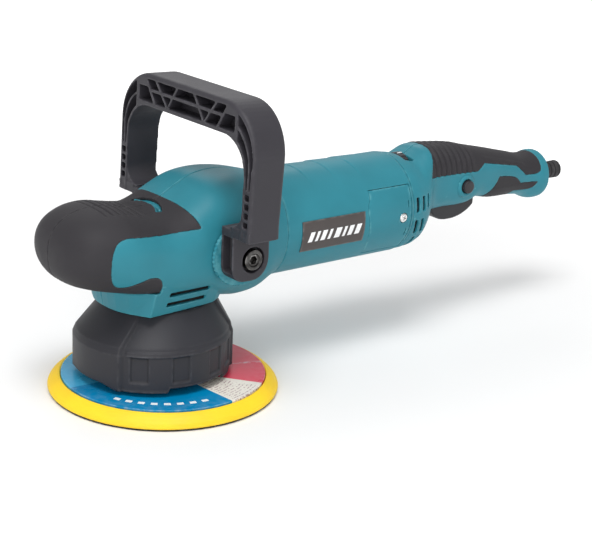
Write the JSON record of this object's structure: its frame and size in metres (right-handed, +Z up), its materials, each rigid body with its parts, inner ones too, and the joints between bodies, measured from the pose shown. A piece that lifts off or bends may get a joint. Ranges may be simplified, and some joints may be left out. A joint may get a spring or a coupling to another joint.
{
  "type": "dual action polisher",
  "caption": "Corded random orbital polisher: round foam-backed pad on an eccentric drive, palm nose, bail handle, barrel motor housing and rear trigger grip.",
  "frame": {"origin": "on the output spindle's axis, in the plane of the pad's working face, with the pad parked at one point of its orbit", "axes": "+Z up along the output spindle, +X from the nose towards the cord, -Y towards the tool's left side"},
  "size_m": [0.4426, 0.1559, 0.1951],
  "materials": {
    "teal_housing": "fine-textured glass-filled nylon, teal",
    "soft_grip": "soft moulded-on elastomer, charcoal",
    "black_nylon": "satin glass-filled nylon, near black",
    "gland_rubber": "matt moulded rubber",
    "cast_alloy": "die-cast, lightly blasted",
    "steel": "ground and turned",
    "dark_iron": "laminated core, varnished",
    "copper": "turned copper bars",
    "brass": "pressed brass",
    "carbon": "pressed carbon",
    "plate_print": "printed film, dark grey",
    "capacitor_film": "dipped film",
    "pad_foam": "skinned polyurethane foam, yellow",
    "pad_print": "printed film over fibre plate",
    "hook_pile": "nylon hook fabric"
  },
  "bodies": {
    "housing": {"head_cover_left": "teal_housing", "head_cover_right": "teal_housing", "nose_grip_left": "soft_grip", "nose_grip_right": "soft_grip", "skirt": "black_nylon", "gear_case": "cast_alloy", "bearing_retainer": "cast_alloy", "spindle_bearing_lower": "steel", "spindle_bearing_upper": "steel", "pivot_disc_left": "teal_housing", "pivot_disc_right": "teal_housing", "bail_bolt_left": "steel", "bail_bolt_right": "steel", "motor_housing": "teal_housing", "stator": "dark_iron", "armature_bearing_front": "steel", "armature_bearing_rear": "steel", "brush_holder_left": "brass", "brush_holder_right": "brass", "brush_left": "carbon", "brush_right": "carbon", "brush_cover_left": "teal_housing", "brush_cover_right": "teal_housing", "brush_cover_screw_left": "steel", "brush_cover_screw_right": "steel", "nameplate": "plate_print", "rear_housing_left": "teal_housing", "rear_housing_right": "teal_housing", "grip_rubber_left": "soft_grip", "grip_rubber_right": "soft_grip", "palm_rubber_left": "soft_grip", "palm_rubber_right": "soft_grip", "trigger_pin": "steel", "switch_body": "black_nylon", "trigger_spring": "steel", "speed_controller": "black_nylon", "cord_gland": "gland_rubber", "cord_clamp": "black_nylon", "capacitor": "capacitor_film"},
    "drive": {"output_spindle": "steel", "bevel_gear": "steel", "eccentric_carrier": "steel", "counterweight": "dark_iron", "orbit_bearing_lower": "steel", "orbit_bearing_upper": "steel"},
    "pad": {"pad_foam": "pad_foam", "hook_face": "hook_pile", "pad_plate": "pad_print", "pad_stud": "steel", "pad_spindle": "steel"},
    "armature": {"armature_shaft": "steel", "armature_core": "dark_iron", "commutator": "copper", "cooling_fan": "black_nylon", "bevel_pinion": "steel"},
    "bail": {"d_handle": "black_nylon"},
    "trigger": {"trigger": "black_nylon"},
    "plunger": {"switch_plunger": "black_nylon"},
    "lock": {"lock_button": "black_nylon"},
    "dial": {"speed_dial": "black_nylon"}
  },
  "joints": [
    {"name": "spindle_spin", "type": "hinge", "parent": "housing", "child": "drive", "pos_m": [0, 0, 0.0776], "axis": [0, 0, 1], "continuous": true},
    {"name": "pad_spin", "type": "hinge", "parent": "drive", "child": "pad", "pos_m": [0.00462, -0.00591, 0.0276], "axis": [0, 0, 1], "continuous": true},
    {"name": "armature_spin", "type": "hinge", "parent": "housing", "child": "armature", "pos_m": [0.1, 0, 0.0976], "axis": [1, 0, 0], "continuous": true},
    {"name": "bail_tilt", "type": "hinge", "parent": "housing", "child": "bail", "pos_m": [0.0355, 0, 0.0951], "axis": [0, 1, 0], "range_deg": [-30, 30]},
    {"name": "trigger_pull", "type": "hinge", "parent": "housing", "child": "trigger", "pos_m": [0.269, 0, 0.098], "axis": [0, 1, 0], "range_deg": [0, 8], "stiffness_Nm_per_rad": 2, "springref_deg": -5.73},
    {"name": "plunger_push", "type": "slide", "parent": "housing", "child": "plunger", "axis": [0, 0, 1], "range_m": [0, 0.0036], "deforming": ["trigger_spring"]},
    {"name": "lock_press", "type": "slide", "parent": "housing", "child": "lock", "axis": [0, 1, 0], "range_m": [0, 0.003], "stiffness_N_per_m": 300, "springref_m": -0.002},
    {"name": "dial_turn", "type": "hinge", "parent": "housing", "child": "dial", "pos_m": [0.203, 0, 0.1186], "axis": [1, 0, 0], "range_deg": [0, 270]}
  ],
  "couplings": [
    {"joint": "armature_spin", "follows": "spindle_spin", "ratio": 4},
    {"joint": "plunger_push", "follows": "trigger_pull", "m_per_rad": 0.0245}
  ]
}
